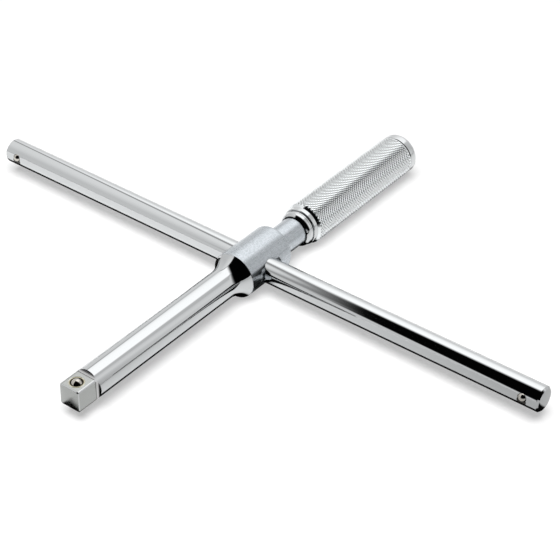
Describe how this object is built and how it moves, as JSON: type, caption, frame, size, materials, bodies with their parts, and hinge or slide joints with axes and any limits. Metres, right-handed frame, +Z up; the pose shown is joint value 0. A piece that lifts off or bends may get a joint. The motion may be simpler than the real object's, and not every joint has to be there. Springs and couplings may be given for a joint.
{
  "type": "sliding cross handle",
  "caption": "Half-inch square-drive sliding cross handle: straight shaft, round boss with a cross bar through it, and a knurled grip that spins.",
  "frame": {"origin": "where the axes of the shaft and of the cross bar meet, inside the boss; also the middle of the bounding box to within 2 mm", "axes": "+X along the cross bar, +Y along the shaft from the square drive towards the grip, +Z up, out of the drive flat that has the ball"},
  "size_m": [0.3599, 0.2845, 0.0262],
  "materials": {
    "shaft_chrome": "polished chrome plate, satin on the boss and neck",
    "bar_chrome": "mirror-polished chrome plate",
    "knurled_chrome": "chrome plate over a diamond knurl",
    "collar_chrome": "turned and chrome plated",
    "ball_steel": "polished bearing steel",
    "spring_steel": "oiled spring steel",
    "bearing_bronze": "sintered bronze, oiled",
    "black_rubber": "moulded rubber"
  },
  "bodies": {
    "handle": {"drive_shaft": "shaft_chrome", "drive_ball_spring": "spring_steel", "drag_ring_left": "black_rubber", "drag_ring_right": "black_rubber", "front_thrust_washer": "bearing_bronze", "rear_thrust_washer": "bearing_bronze", "wave_washer": "spring_steel", "retaining_ring": "spring_steel"},
    "drive_ball": {"drive_ball": "ball_steel"},
    "bar": {"cross_bar": "bar_chrome", "bar_spring_left": "spring_steel", "bar_spring_right": "spring_steel"},
    "bar_ball_left": {"bar_ball_left": "ball_steel"},
    "bar_ball_right": {"bar_ball_right": "ball_steel"},
    "grip": {"grip_sleeve": "knurled_chrome", "grip_front_collar": "collar_chrome", "grip_end_cap": "collar_chrome", "front_bush": "bearing_bronze", "rear_bush": "bearing_bronze"}
  },
  "joints": [
    {"name": "bar_slide", "type": "slide", "parent": "handle", "child": "bar", "axis": [1, 0, 0], "range_m": [-0.1565, 0.153]},
    {"name": "grip_spin", "type": "hinge", "parent": "handle", "child": "grip", "pos_m": [0, 0.09, 0], "axis": [0, 1, 0], "continuous": true},
    {"name": "drive_ball_press", "type": "slide", "parent": "handle", "child": "drive_ball", "axis": [0, 0, -1], "range_m": [0, 0.0016], "stiffness_N_per_m": 5000, "springref_m": -0.002, "deforming": ["drive_ball_spring"]},
    {"name": "bar_ball_left_press", "type": "slide", "parent": "bar", "child": "bar_ball_left", "axis": [0, 0.9877, -0.1564], "range_m": [0, 0.0014], "stiffness_N_per_m": 5000, "springref_m": -0.002, "deforming": ["bar_spring_left"]},
    {"name": "bar_ball_right_press", "type": "slide", "parent": "bar", "child": "bar_ball_right", "axis": [0, 0.9877, -0.1564], "range_m": [0, 0.0014], "stiffness_N_per_m": 5000, "springref_m": -0.002, "deforming": ["bar_spring_right"]}
  ]
}
